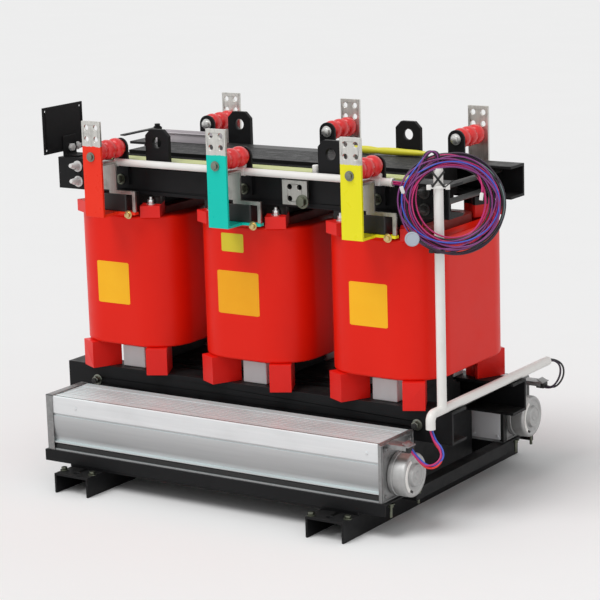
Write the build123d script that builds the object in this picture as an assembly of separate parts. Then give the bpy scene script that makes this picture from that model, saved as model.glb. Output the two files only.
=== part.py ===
from build123d import *
import math
import os

# Open three-phase dry-type transformer with cast resin coils, standing on two skids.
# Millimetres, +Z up, +X along the row of coils, the terminal side with coloured bars facing -Y.
# The origin is on the floor, below the middle of the core.

# Driving dimensions: coils and core
phase_spacing = 330.0
outer_coil_width = 270.0
outer_coil_depth = 368.0
outer_coil_corner = 88.0
outer_coil_wall = 38.0
outer_coil_edge = 5.0
coil_height = 294.0
air_duct = 20.0
inner_coil_wall = 24.0
inner_coil_corner = 30.0
inner_corner = 6.0
inner_coil_overhang = 12.0
limb_gap = 6.0
core_step = 8.0
yoke_height = 90.0

# Clamps that grip the yokes
clamp_overhang = 126.0
clamp_height = 70.0
clamp_thickness = 6.0
clamp_flange = 60.0
clamp_pad = 5.0
tie_rod_diameter = 12.0
tie_rod_clearance = 0.5
tie_rod_end = 16.0
upper_tie_inset = 56.0
upper_tie_spread = 34.0
lower_tie_inset = 83.0
pad_strip_width = 42.0
pad_strip_inset = 103.0
pad_strip_thickness = 4.0

# Lifting lugs
lug_spacing = 448.0
lug_width = 62.0
lug_height = 76.0
lug_thickness = 10.0
lug_corner = 14.0
lug_hole = 24.0
lug_hole_below_top = 29.0

# Coil feet and press blocks
foot_height = 60.0
foot_width = 47.0
foot_length = 71.0
foot_inset_x = 39.5
foot_inset_y = 2.0
foot_gap = 2.0
press_width = 44.0
press_height = 26.0
press_gap = 20.0
duct_block_width = 61.0
duct_block_gap = 4.0
duct_block_proud = 14.0

# Busbars and terminals
bar_width = 50.0
bar_thickness = 6.0
bar_shift = 8.0
bar_rise = 102.0
pad_hole = 12.0
pad_hole_pitch = 25.0
pad_hole_inset = 14.0
boss_height = 9.0
boss_depth = 30.0
boss_inset = 2.0
tab_depth = 13.0
lead_width = 40.0
lead_thickness = 5.0
lead_step_width = 8.0
lead_reach = 70.0
lead_inset = 2.0
lead_top_gap = 2.0
lead_block_left = 16.0
lead_block_right = 46.0
lead_block_height = 38.0
lead_block_depth = 51.0
neutral_x = 143.0
neutral_width = 62.0
neutral_drop = 10.0
neutral_height = 52.0
neutral_gap = 10.0

# Post insulators and the straps that hold them
front_insulator_rise = 33.0
rear_insulator_rise = 41.0
insulator_length = 92.0
insulator_diameter = 44.0
insulator_core = 34.0
insulator_ribs = 3
rib_share = 0.6
strap_width = 40.0
strap_thickness = 6.0
strap_overlap = 50.0

# Skids and base frame
gauge = 660.0
skid_shift = -8.0
skid_width = 92.0
skid_height = 45.0
skid_overhang = 57.0
skid_thickness = 5.0
anchor_hole = 14.0
anchor_inset = 22.0
cross_bar_width = 60.0
cross_bar_thickness = 7.0
rail_height = 26.0
rail_thickness = 4.0
rail_end_margin = 8.0
rail_lip = 4.0
side_rail_width = 30.0
pedestal_height = 125.0
pedestal_thickness = 6.0
pedestal_gap = 4.0

# Cross-flow fans
fan_overhang = 59.5
fan_depth = 124.0
fan_height = 124.0
fan_clearance = 31.0
fan_band = 40.0
fan_groove = 3.0
fan_lip_height = 22.0
fan_recess = 14.0
fan_outlet_depth = 78.0
fan_outlet_recess = 3.0
fan_plate = 4.0
motor_diameter = 92.0
motor_length = 42.0
motor_clearance = 4.0
motor_edge = 6.0
motor_boss = 46.0
motor_boss_height = 5.0
terminal_shelf_reach = 56.0
terminal_shelf_depth = 30.0
terminal_shelf_offset = 36.0
terminal_shelf_thickness = 3.0
terminal_block_length = 19.0
terminal_block_depth = 20.0
terminal_block_height = 12.0

# Controller plate at the left end
plate_width = 139.0
plate_height = 105.0
plate_thickness = 3.0
plate_hole = 5.0
plate_hole_inset = 9.0
plate_reach = 49.0
plate_lift = 10.0
bracket_width = 46.0

# Cable conduits
riser_diameter = 20.0
top_conduit_diameter = 16.0
conduit_wall = 1.8
conduit_gap = 1.0
top_conduit_inset = 5.0
top_conduit_reach = 54.0
riser_inset = 13.0
riser_gap = 8.0
riser_rise = 38.0
riser_plug = 9.0
side_conduit_front = 65.0
side_conduit_rear = 125.0
elbow_radius = 14.0
elbow_drop = 30.0

# Loose wires: a coil hung on the riser, the leads to it, and the leads to both fans
coil_half_width = 112.0
coil_half_height = 108.0
coil_eye_width = 92.0
coil_eye_height = 116.0
coil_eye_lift = 8.0
coil_thickness = 26.0
coil_offset = 25.0
coil_stand_off = 13.7
coil_drop = 70.0
coil_turn = 28.6
coil_tilt = 11.0
coil_edge = 8.0
connector_diameter = 30.0
connector_length = 22.0
connector_across = 77.0
connector_down = 70.0
wire_lead_diameter = 8.0
front_lead_diameter = 6.0
rear_lead_diameter = 5.0

# Measures that follow from the driving dimensions
sides = (-1, 1)
phases = {"left": -phase_spacing, "middle": 0.0, "right": phase_spacing}
skid_top = skid_height
cross_top = skid_top + cross_bar_thickness
rail_top = cross_top + rail_height
lower_clamp_bottom = skid_top + pedestal_height
lower_clamp_top = lower_clamp_bottom + clamp_height
coil_bottom = lower_clamp_top + foot_height
coil_top = coil_bottom + coil_height
upper_clamp_bottom = coil_top + press_height + press_gap
upper_clamp_top = upper_clamp_bottom + clamp_height
inner_coil_width = outer_coil_width - 2 * (outer_coil_wall + air_duct)
inner_coil_depth = outer_coil_depth - 2 * (outer_coil_wall + air_duct)
limb_width = inner_coil_width - 2 * (inner_coil_wall + limb_gap)
limb_depth = inner_coil_depth - 2 * (inner_coil_wall + limb_gap)
inner_bottom = coil_bottom - inner_coil_overhang
inner_top = coil_top + inner_coil_overhang
lower_yoke_bottom = lower_clamp_bottom + (clamp_height - yoke_height) / 2
upper_yoke_bottom = upper_clamp_bottom + (clamp_height - yoke_height) / 2
lower_yoke_top = lower_yoke_bottom + yoke_height
yoke_half = phase_spacing + limb_width / 2
clamp_inner = limb_depth / 2 + clamp_pad
clamp_face = clamp_inner + clamp_flange
clamp_end = yoke_half + clamp_overhang
foot_across = outer_coil_width / 2 - foot_inset_x
foot_along = outer_coil_depth / 2 - foot_inset_y
foot_angle = math.degrees(math.atan2(foot_along, foot_across))
foot_end = math.hypot(foot_along, foot_across)
strap_face = clamp_face + strap_thickness
bar_back = strap_face + insulator_length
bar_plane = bar_back + bar_thickness
bar_top = upper_clamp_top + bar_rise
front_bar_bottom = coil_top + boss_height
boss_back = outer_coil_depth / 2 - boss_inset - boss_depth
front_insulator_z = upper_clamp_top + front_insulator_rise
rear_insulator_z = upper_clamp_top + rear_insulator_rise
lead_block_bottom = front_bar_bottom + bar_thickness
lead_block_front = clamp_face + lead_block_depth
lead_bottom = lead_block_bottom + lead_block_height + lead_step_width
lead_front = lead_block_front - lead_inset
neutral_top = upper_clamp_top - neutral_drop
fan_length = gauge + skid_width + 2 * fan_overhang
fan_back = clamp_face + fan_clearance
fan_front = fan_back + fan_depth
rail_front = fan_front + rail_lip
rail_left = skid_shift - fan_length / 2 - rail_end_margin
rail_right = skid_shift + fan_length / 2 + rail_end_margin
fan_bottom = rail_top
fan_top = fan_bottom + fan_height
fan_middle = fan_back + fan_depth / 2
fan_right = skid_shift + fan_length / 2
motor_z = fan_bottom + motor_clearance + motor_diameter / 2
skid_half = fan_front + skid_overhang
riser_x = clamp_end - riser_inset
riser_y = -(clamp_face + riser_gap + riser_diameter / 2)
riser_top = upper_clamp_top + riser_rise
side_z = lower_clamp_top + riser_diameter / 2
side_front = -(clamp_face + side_conduit_front)
side_rear = clamp_face + side_conduit_rear
top_conduit_y = -(strap_face + conduit_gap + top_conduit_diameter / 2)
top_conduit_z = upper_clamp_top + conduit_gap
top_conduit_start = -phase_spacing + top_conduit_inset
top_conduit_end = phase_spacing + top_conduit_reach


def block(x0, x1, y0, y1, z0, z1):
    """A box between two corners."""
    centre = Location(((x0 + x1) / 2, (y0 + y1) / 2, (z0 + z1) / 2))
    return centre * Box(x1 - x0, y1 - y0, z1 - z0)


def mirrored(y0, y1, side):
    """Near and far distances from the middle, on one side of it, in rising order."""
    low, high = sorted((side * y0, side * y1))
    return low, high


def rod(start, end, diameter):
    """A round bar between two points."""
    line = Vector(*end) - Vector(*start)
    plane = Plane(origin=start, z_dir=line)
    return extrude(plane * Circle(diameter / 2), line.length)


def rounded_tube(width, depth, corner, wall, z0, z1):
    """A tube with a rounded rectangular section."""
    section = RectangleRounded(width, depth, corner)
    hole = RectangleRounded(width - 2 * wall, depth - 2 * wall, max(corner - wall, inner_corner))
    return Pos(0, 0, z0) * extrude(section - hole, z1 - z0)


def save(name, *solids):
    """Writes one node, and prints its name."""
    shape = solids[0] if len(solids) == 1 else Compound(children=list(solids))
    export_step(shape, f"parts/{name}.step")
    print(name, len(solids))


def stepped_bar(length, width, height):
    """A core bar along X whose section is stepped towards its corners."""
    bar = Box(length, width, height - 4 * core_step)
    bar += Box(length, width - 4 * core_step, height - 2 * core_step)
    bar += Box(length, width - 8 * core_step, height)
    return bar


def core():
    yoke = stepped_bar(2 * yoke_half, limb_depth, yoke_height)
    save("lower_yoke", Pos(0, 0, lower_yoke_bottom + yoke_height / 2) * yoke)
    save("upper_yoke", Pos(0, 0, upper_yoke_bottom + yoke_height / 2) * yoke)
    limb_height = upper_yoke_bottom - lower_yoke_top
    upright = Rot(0, 90, 0) * stepped_bar(limb_height, limb_depth, limb_width)
    middle = (upper_yoke_bottom + lower_yoke_top) / 2
    save("core_limbs", *[Pos(x, 0, middle) * upright for x in phases.values()])


def coils():
    size = (outer_coil_width, outer_coil_depth, outer_coil_corner, outer_coil_wall)
    for name, x in phases.items():
        outer = rounded_tube(*size, coil_bottom, coil_top)
        ends = outer.faces().filter_by(Axis.Z)
        rims = [face.outer_wire().edges() for face in ends]
        outer = fillet([edge for rim in rims for edge in rim], outer_coil_edge)
        outer += terminal_boss()
        save(f"outer_coil_{name}", Pos(x, 0, 0) * outer)
    size = (inner_coil_width, inner_coil_depth, inner_coil_corner, inner_coil_wall)
    inner = rounded_tube(*size, inner_bottom, inner_top)
    save("inner_coils", *[Pos(x, 0, 0) * inner for x in phases.values()])


def terminal_boss():
    """The raised pad on the front of a coil that the foot of its busbar stands on."""
    half = bar_width / 2
    front = -boss_back - boss_depth
    bottom = coil_top - outer_coil_edge
    return block(bar_shift - half, bar_shift + half, front, -boss_back, bottom, front_bar_bottom)


def corner_block(width, z0, z1, x_side, y_side):
    """A block under or over one corner of a coil, turned towards its middle and clear of the inner coil."""
    middle = foot_end - foot_length / 2
    turn = foot_angle if x_side * y_side > 0 else -foot_angle
    if x_side < 0:
        turn += 180
    shape = Rot(0, 0, turn) * Pos(middle, 0, (z0 + z1) / 2) * Box(foot_length, width, z1 - z0)
    grown = 2 * foot_gap
    corner = inner_coil_corner + foot_gap
    outline = RectangleRounded(inner_coil_width + grown, inner_coil_depth + grown, corner)
    return shape - Pos(0, 0, z0) * extrude(outline, z1 - z0)


def coil_supports():
    feet = []
    presses = []
    blocks = []
    for x in phases.values():
        for y_side in sides:
            for x_side in sides:
                foot = corner_block(foot_width, lower_clamp_top, coil_bottom, x_side, y_side)
                feet.append(Pos(x, 0, 0) * foot)
                low = corner_block(press_width, coil_top, coil_top + press_height, x_side, y_side)
                y0, y1 = mirrored(clamp_inner, clamp_face - clamp_thickness, y_side)
                under = block(-phase_spacing, phase_spacing, y0, y1, coil_top, upper_clamp_bottom)
                tall = corner_block(press_width, coil_top, upper_clamp_bottom, x_side, y_side)
                presses.append(Pos(x, 0, 0) * (low + (tall & under)))
            near = limb_depth / 2 + duct_block_gap
            y0, y1 = mirrored(near, inner_coil_depth / 2 + duct_block_proud, y_side)
            half = duct_block_width / 2
            blocks.append(block(x - half, x + half, y0, y1, lower_clamp_top, inner_bottom))
    save("coil_feet", *feet)
    save("press_blocks", *presses)
    save("inner_coil_blocks", *blocks)


def clamp(side, z0):
    """A channel along X whose flanges point at the yoke."""
    z1 = z0 + clamp_height
    y0, y1 = mirrored(clamp_inner, clamp_face, side)
    beam = block(-clamp_end, clamp_end, y0, y1, z0, z1)
    y0, y1 = mirrored(clamp_inner, clamp_face - clamp_thickness, side)
    return beam - block(-clamp_end, clamp_end, y0, y1, z0 + clamp_thickness, z1 - clamp_thickness)


def tie_rods(diameter):
    """Bars across the core that draw the clamps together, two at each upper end and one at each lower end."""
    upper_middle = upper_clamp_bottom + clamp_height / 2
    lower_middle = lower_clamp_bottom + clamp_height / 2
    reach = clamp_face + tie_rod_end
    places = []
    for side in sides:
        for row in sides:
            places.append((side * (clamp_end - upper_tie_inset), upper_middle + row * upper_tie_spread / 2))
        places.append((side * (clamp_end - lower_tie_inset), lower_middle))
    return [rod((x, -reach, z), (x, reach, z), diameter) for x, z in places]


def clamps():
    rods = tie_rods(tie_rod_diameter)
    holes = tie_rods(tie_rod_diameter + 2 * tie_rod_clearance)
    for name, side in (("front", -1), ("rear", 1)):
        save(f"lower_clamp_{name}", clamp(side, lower_clamp_bottom) - holes)
        save(f"upper_clamp_{name}", clamp(side, upper_clamp_bottom) - holes)
    save("tie_rods", *rods)
    strips = []
    for side in sides:
        y0, y1 = mirrored(clamp_inner, clamp_inner + pad_strip_width, side)
        half = clamp_end - pad_strip_inset
        strips.append(block(-half, half, y0, y1, upper_clamp_top, upper_clamp_top + pad_strip_thickness))
    save("insulation_strips", *strips)


def lifting_lugs():
    for name, side in (("front", -1), ("rear", 1)):
        lugs = []
        outline = Rectangle(lug_width, lug_height)
        outline = chamfer(outline.vertices().group_by(Axis.Y)[-1], lug_corner)
        outline -= Pos(0, lug_height / 2 - lug_hole_below_top) * Circle(lug_hole / 2)
        plate = extrude(Plane.XZ * outline, lug_thickness / 2, both=True)
        y = side * (clamp_face - lug_thickness / 2)
        for x_side in sides:
            lugs.append(Pos(x_side * lug_spacing / 2, y, upper_clamp_top + lug_height / 2) * plate)
        save(f"lifting_lugs_{name}", *lugs)


def terminal_holes(x, y, top):
    """Four bolt holes in the pad at the top of a bar."""
    holes = []
    for column in sides:
        for row in (0, 1):
            z = top - pad_hole_inset - row * pad_hole_pitch
            place = x + column * pad_hole_pitch / 2
            holes.append(rod((place, y - bar_plane, z), (place, y + bar_plane, z), pad_hole))
    return holes


def busbars():
    half = bar_width / 2
    leads = []
    blocks = []
    for name, phase in phases.items():
        x = phase + bar_shift
        front = block(x - half, x + half, -bar_plane, -bar_back, front_bar_bottom, bar_top)
        front += block(x - half, x + half, -bar_plane, -boss_back, front_bar_bottom, lead_block_bottom)
        y0, y1 = -lead_block_front, -lead_block_front + tab_depth
        front += block(x, x + lead_reach, y0, y1, front_bar_bottom, lead_block_bottom)
        save(f"front_bar_{name}", front - terminal_holes(x, -bar_plane, bar_top))
        foot = upper_clamp_bottom + bar_thickness
        rear = block(x - half, x + half, bar_back, bar_plane, upper_clamp_bottom, bar_top)
        rear += block(x - half, x + half, clamp_face, bar_plane, upper_clamp_bottom, foot)
        save(f"rear_bar_{name}", rear - terminal_holes(x, bar_plane, bar_top))
        leads.append(front_lead(x))
        left = x - lead_block_left
        right = x + lead_block_right
        top = lead_block_bottom + lead_block_height
        blocks.append(block(left, right, -lead_block_front, -clamp_face, lead_block_bottom, top))
    save("front_leads", *leads)
    save("lead_blocks", *blocks)
    neutral()


def front_lead(x):
    """A bare strip behind a coloured bar, stepping aside over its block and down to the foot of the bar."""
    y0 = -lead_front
    y1 = y0 + lead_thickness
    top = front_insulator_z - insulator_diameter / 2 - lead_top_gap
    right = x + lead_reach
    strip = block(x - lead_width / 2, x + lead_width / 2, y0, y1, lead_bottom, top)
    strip += block(x - lead_width / 2, x + lead_width / 2, -bar_back, y1, top - lead_thickness, top)
    strip += block(x, right, y0, y1, lead_bottom - lead_step_width, lead_bottom)
    return strip + block(right - lead_step_width, right, y0, y1, lead_block_bottom, lead_bottom)


def neutral():
    """The neutral pad, on a stub that stands off the front upper clamp."""
    half = neutral_width / 2
    y1 = -clamp_face - neutral_gap
    y0 = y1 - bar_thickness
    bottom = neutral_top - neutral_height
    pad = block(neutral_x - half, neutral_x + half, y0, y1, bottom, neutral_top)
    pad += block(neutral_x - half / 2, neutral_x + half / 2, y0, -clamp_face, bottom, bottom + bar_thickness)
    save("neutral_bar", pad - terminal_holes(neutral_x, y1, neutral_top))


def insulator(x, z, start, end):
    """A ribbed post insulator along Y."""
    length = abs(end - start)
    direction = 1 if end > start else -1
    post = rod((x, start, z), (x, end, z), insulator_core)
    pitch = length / insulator_ribs
    rib = rib_share * pitch
    for k in range(insulator_ribs):
        near = start + direction * (k * pitch + (pitch - rib) / 2)
        far = near + direction * rib
        post += rod((x, near, z), (x, far, z), insulator_diameter)
    return post


def strap(x, z, side):
    """An upright strap on the face of a clamp, with a round head behind the insulator."""
    y0, y1 = mirrored(clamp_face, strap_face, side)
    half = strap_width / 2
    upright = block(x - half, x + half, y0, y1, upper_clamp_top - strap_overlap, z)
    return upright + rod((x, y0, z), (x, y1, z), strap_width)


def insulators():
    straps = []
    for name, side, z in (("front", -1, front_insulator_z), ("rear", 1, rear_insulator_z)):
        posts = []
        for phase in phases.values():
            x = phase + bar_shift
            posts.append(insulator(x, z, side * strap_face, side * bar_back))
            straps.append(strap(x, z, side))
        save(f"{name}_insulators", *posts)
    save("insulator_straps", *straps)


def base():
    centres = {"left": skid_shift - gauge / 2, "right": skid_shift + gauge / 2}
    half = skid_width / 2
    for name, x in centres.items():
        skid = block(x - half, x + half, -skid_half, skid_half, 0, skid_height)
        inner = half - skid_thickness
        skid -= block(x - inner, x + inner, -skid_half, skid_half, 0, skid_height - skid_thickness)
        for side in sides:
            y = side * (skid_half - anchor_inset)
            skid -= rod((x, y, 0), (x, y, skid_height), anchor_hole)
        save(f"skid_{name}", skid)
        save(f"pedestal_{name}", pedestal(x))
    bars = []
    for side in sides:
        y0, y1 = mirrored(fan_front - cross_bar_width, fan_front, side)
        bars.append(block(centres["left"] - half, centres["right"] + half, y0, y1, skid_top, cross_top))
    save("cross_bars", *bars)
    rails()


def pedestal(x):
    """A folded channel over a skid that carries the lower clamps, with a saddle for the yoke."""
    half = skid_width / 2
    t = pedestal_thickness
    saddle = lower_yoke_bottom
    notch = clamp_inner - pedestal_gap
    body = block(x - half, x + half, -clamp_face, clamp_face, skid_top, lower_clamp_bottom)
    body -= block(x - half, x + half, -notch, notch, saddle, lower_clamp_bottom)
    body -= block(x - half + t, x + half - t, -clamp_face, -notch - t, skid_top, lower_clamp_bottom - t)
    body -= block(x - half + t, x + half - t, notch + t, clamp_face, skid_top, lower_clamp_bottom - t)
    body -= block(x - half + t, x + half - t, -notch - t, notch + t, skid_top, saddle - t)
    return body


def rails():
    for name, side in (("front", -1), ("rear", 1)):
        y0, y1 = mirrored(fan_back, rail_front, side)
        rail = block(rail_left, rail_right, y0, y1, rail_top - rail_thickness, rail_top)
        y0, y1 = mirrored(rail_front - rail_thickness, rail_front, side)
        rail += block(rail_left, rail_right, y0, y1, cross_top, rail_top)
        y0, y1 = mirrored(fan_back, fan_back + rail_thickness, side)
        rail += block(rail_left, rail_right, y0, y1, cross_top, rail_top)
        save(f"fan_rail_{name}", rail)
    for name, x0, x1 in (
        ("left", rail_left, rail_left + side_rail_width),
        ("right", rail_right - side_rail_width, rail_right),
    ):
        rail = block(x0, x1, -fan_back, fan_back, rail_top - rail_thickness, rail_top)
        edge = x0 if name == "left" else x1 - rail_thickness
        rail += block(edge, edge + rail_thickness, -fan_back, fan_back, cross_top, rail_top)
        save(f"side_rail_{name}", rail)


def fan_section():
    """Section of the fan casing, front at the left: flat band, groove, scroll, lip, recess and foot."""
    low = -fan_height / 2
    high = fan_height / 2
    face = -fan_depth / 2
    back = fan_depth / 2
    band_end = high - fan_band
    lip = low + fan_lip_height
    outlet_start = (fan_depth - fan_outlet_depth) / 2 + face
    outlet_end = outlet_start + fan_outlet_depth
    outlet_floor = high - fan_outlet_recess
    groove = (face + fan_groove, band_end - fan_groove)
    belly = (face + fan_groove / 2, (band_end + lip) / 2)
    lip_back = (face + fan_recess / 2, lip)
    outlet = [(back, low), (back, high), (outlet_end, high), (outlet_end, outlet_floor)]
    band = [(outlet_start, outlet_floor), (outlet_start, high), (face, high), (face, band_end), groove]
    foot = [lip_back, (face, lip - fan_groove), (face + fan_recess, lip - 2 * fan_groove)]
    foot += [(face + fan_recess, low + fan_groove), (face, low + fan_groove), (face, low), (back, low)]
    return make_face(Polyline(*outlet, *band) + ThreePointArc(groove, belly, lip_back) + Polyline(*foot))


def fans():
    body_length = fan_length - 2 * fan_plate
    casing = extrude(Plane.YZ * fan_section(), body_length / 2, both=True)
    plate = Box(fan_plate, fan_depth, fan_height)
    for name, side in (("front", -1), ("rear", 1)):
        shape = casing if side < 0 else mirror(casing, Plane.XZ)
        y = side * fan_middle
        z = (fan_bottom + fan_top) / 2
        save(f"{name}_fan_casing", Pos(skid_shift, y, z) * shape)
        left, right = [Pos(skid_shift + s * (fan_length - fan_plate) / 2, y, z) * plate for s in sides]
        save(f"{name}_fan_end_plates", left, right + terminal_shelf(side))
        motor = rod((fan_right, y, motor_z), (fan_right + motor_length, y, motor_z), motor_diameter)
        tip = fan_right + motor_length
        motor = fillet(motor.edges().group_by(Axis.X)[-1], motor_edge)
        motor += rod((tip, y, motor_z), (tip + motor_boss_height, y, motor_z), motor_boss)
        save(f"{name}_fan_motor", motor)
    save("fan_terminals", *[terminal_block(side) for side in sides])


def terminal_shelf(side):
    """The shelf bent out of an end plate over the motor, for the wires."""
    y = side * (fan_middle + terminal_shelf_offset)
    half = terminal_shelf_depth / 2
    bottom = fan_top - terminal_shelf_thickness
    return block(fan_right - fan_plate, fan_right + terminal_shelf_reach, y - half, y + half, bottom, fan_top)


def terminal_block(side):
    """The block under the end of a shelf that the wires of the motor go into."""
    y = side * (fan_middle + terminal_shelf_offset)
    half = terminal_block_depth / 2
    right = fan_right + terminal_shelf_reach
    top = fan_top - terminal_shelf_thickness
    return block(right - terminal_block_length, right, y - half, y + half, top - terminal_block_height, top)


def controller():
    left = -clamp_end
    z0 = upper_clamp_top + plate_lift
    front = -clamp_face - plate_reach
    plate = block(left, left + plate_thickness, front, front + plate_width, z0, z0 + plate_height)
    middle_y = front + plate_width / 2
    middle_z = z0 + plate_height / 2
    for column in sides:
        for row in sides:
            y = middle_y + column * (plate_width / 2 - plate_hole_inset)
            z = middle_z + row * (plate_height / 2 - plate_hole_inset)
            plate -= rod((left - plate_thickness, y, z), (left + 2 * plate_thickness, y, z), plate_hole)
    y1 = -clamp_inner
    y0 = y1 - bracket_width
    t = plate_thickness
    bracket = block(left + t, left + 2 * t, y0, y1, upper_clamp_top, z0 + plate_height / 3)
    bracket += block(left + t, left + bracket_width, y0, y1, upper_clamp_top, upper_clamp_top + t)
    save("controller_plate", plate)
    save("controller_bracket", bracket)


def pipe(points, radii, diameter, wall=0.0):
    """A tube along straight runs joined by tangent arcs, solid where no wall is given."""
    line = FilletPolyline(*points, radius=radii)
    start = Plane(origin=line @ 0, z_dir=line % 0)
    section = Circle(diameter / 2)
    if wall:
        section -= Circle(diameter / 2 - wall)
    return sweep(start * section, path=line)


def conduits():
    start = (top_conduit_start, top_conduit_y, top_conduit_z)
    end = (top_conduit_end, top_conduit_y, top_conduit_z)
    hollow = top_conduit_diameter - 2 * conduit_wall
    save("top_conduit", rod(start, end, top_conduit_diameter) - rod(start, end, hollow))
    elbow = (riser_x, side_front, side_z)
    drop = (riser_x, side_front, side_z - elbow_drop)
    rear = (riser_x, side_rear, side_z)
    save("side_conduit", pipe([drop, elbow, rear], elbow_radius, riser_diameter, conduit_wall))
    head = (riser_x, riser_y, riser_top)
    riser = rod((riser_x, riser_y, side_z), head, riser_diameter)
    hollow = riser_diameter - 2 * conduit_wall
    riser -= rod((riser_x, riser_y, side_z), (riser_x, riser_y, riser_top - riser_plug), hollow)
    save("riser", riser - rod(elbow, rear, riser_diameter))


def tube_radii(points):
    """The largest arc that fits each corner of a wire's route."""
    radii = []
    for before, corner, after in zip(points, points[1:], points[2:]):
        near = Vector(*corner) - Vector(*before)
        far = Vector(*after) - Vector(*corner)
        turn = math.radians(near.get_angle(far))
        radii.append(0.45 * min(near.length, far.length) / math.tan(turn / 2))
    return radii


def wire(points, diameter):
    """The plain tube of a wire or a bundle of wires."""
    radii = tube_radii(points)
    print("radii", [round(radius, 1) for radius in radii])
    return pipe(points, radii, diameter)


def coil_plane():
    """The plane of the hung coil: it faces the front right corner and leans back onto the riser's top."""
    across = Vector(math.cos(math.radians(coil_turn)), math.sin(math.radians(coil_turn)), 0)
    out = Vector(across.Y, -across.X, 0)
    middle = Vector(riser_x, riser_y, riser_top - coil_drop) + across * coil_offset + out * coil_stand_off
    upright = Plane(origin=middle, x_dir=across, z_dir=out)
    return upright.rotated((-coil_tilt, 0, 0))


def wires():
    plane = coil_plane()
    ring = extrude(Ellipse(coil_half_width, coil_half_height), coil_thickness / 2, both=True)
    ring = fillet(ring.edges(), coil_edge)
    eye = Ellipse(coil_eye_width / 2, coil_eye_height / 2)
    ring -= Pos(0, coil_eye_lift, 0) * extrude(eye, coil_thickness, both=True)
    ring = plane * ring
    post = rod((riser_x, riser_y, lower_clamp_top), (riser_x, riser_y, riser_top), riser_diameter)
    save("wire_coil", ring - post)
    connector = Pos(-connector_across, -connector_down, coil_thickness / 2) * Cylinder(
        connector_diameter / 2, connector_length, align=(Align.CENTER, Align.CENTER, Align.MIN)
    )
    save("connector", plane * connector)
    x, y, z = top_conduit_end, top_conduit_y, top_conduit_z
    route = [
        (x, y, z),
        (x + 20, y - 1, z),
        (x + 40, y - 14, z + 1),
        (x + 56, y - 30, z + 4),
        (x + 62, y - 46, z + 7),
    ]
    save("wire_leads", wire(route, wire_lead_diameter) - ring)
    x, y, z = riser_x, side_front, side_z - elbow_drop
    front = [
        (x, y, z),
        (x + 6, y - 1, z - 24),
        (x + 26, y - 6, z - 42),
        (x + 36, y - 17, z - 62),
        (x + 24, y - 33, z - 76),
        (x + 6, y - 49, z - 68),
        (x - 10, y - 65, z - 26),
    ]
    save("front_fan_leads", wire(front, front_lead_diameter) - terminal_block(-1))
    x, y, z = riser_x, side_rear, side_z
    rear = [
        (x, y, z),
        (x + 2, y + 20, z - 1),
        (x + 17, y + 32, z - 14),
        (x + 22, y + 24, z - 38),
        (x + 12, y + 12, z - 60),
        (x - 1, y + 6, z - 64),
        (x - 14, y + 4, z - 60),
    ]
    save("rear_fan_leads", wire(rear, rear_lead_diameter) - terminal_block(1))


def main():
    os.makedirs("parts", exist_ok=True)
    base()
    clamps()
    core()
    coils()
    coil_supports()
    lifting_lugs()
    busbars()
    insulators()
    fans()
    controller()
    conduits()
    wires()


main()
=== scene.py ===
import math

import bmesh
import bpy
from mathutils import Matrix, Quaternion, Vector


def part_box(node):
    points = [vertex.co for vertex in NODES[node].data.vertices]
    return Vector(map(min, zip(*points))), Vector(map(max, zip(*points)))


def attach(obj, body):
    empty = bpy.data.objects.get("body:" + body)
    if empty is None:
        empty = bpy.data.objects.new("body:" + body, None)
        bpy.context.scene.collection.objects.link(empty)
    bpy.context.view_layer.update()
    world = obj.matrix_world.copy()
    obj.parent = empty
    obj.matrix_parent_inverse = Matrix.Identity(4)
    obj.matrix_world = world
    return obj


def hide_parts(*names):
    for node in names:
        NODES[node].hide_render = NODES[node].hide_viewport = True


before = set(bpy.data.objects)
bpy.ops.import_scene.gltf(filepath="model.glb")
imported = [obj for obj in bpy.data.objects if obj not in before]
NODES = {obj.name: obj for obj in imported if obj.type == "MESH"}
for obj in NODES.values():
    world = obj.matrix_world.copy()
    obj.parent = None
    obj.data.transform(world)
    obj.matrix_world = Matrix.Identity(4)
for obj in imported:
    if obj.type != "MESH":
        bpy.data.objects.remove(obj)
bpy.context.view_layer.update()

# Open dry-type transformer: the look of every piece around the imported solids. Metres, +Z up.
MM = 0.001
SCENE = bpy.context.scene
SMOOTH_ANGLE = math.radians(35)

# Sides and phases, named as in the solids
SIDES = (-1, 1)
CORNERS = [(out, side) for out in SIDES for side in SIDES]
FACES = {"front": -1, "rear": 1}
ENDS = ("left", "right")
PHASES = {"left": -0.330, "middle": 0.0, "right": 0.330}
BAR_SHIFT = 0.008


def low(node):
    """Lowest corner of a node's box."""
    return Vector(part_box(node)[0])


def high(node):
    """Highest corner of a node's box."""
    return Vector(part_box(node)[1])


def middle(node):
    """Middle of a node's box."""
    return (low(node) + high(node)) / 2


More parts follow.
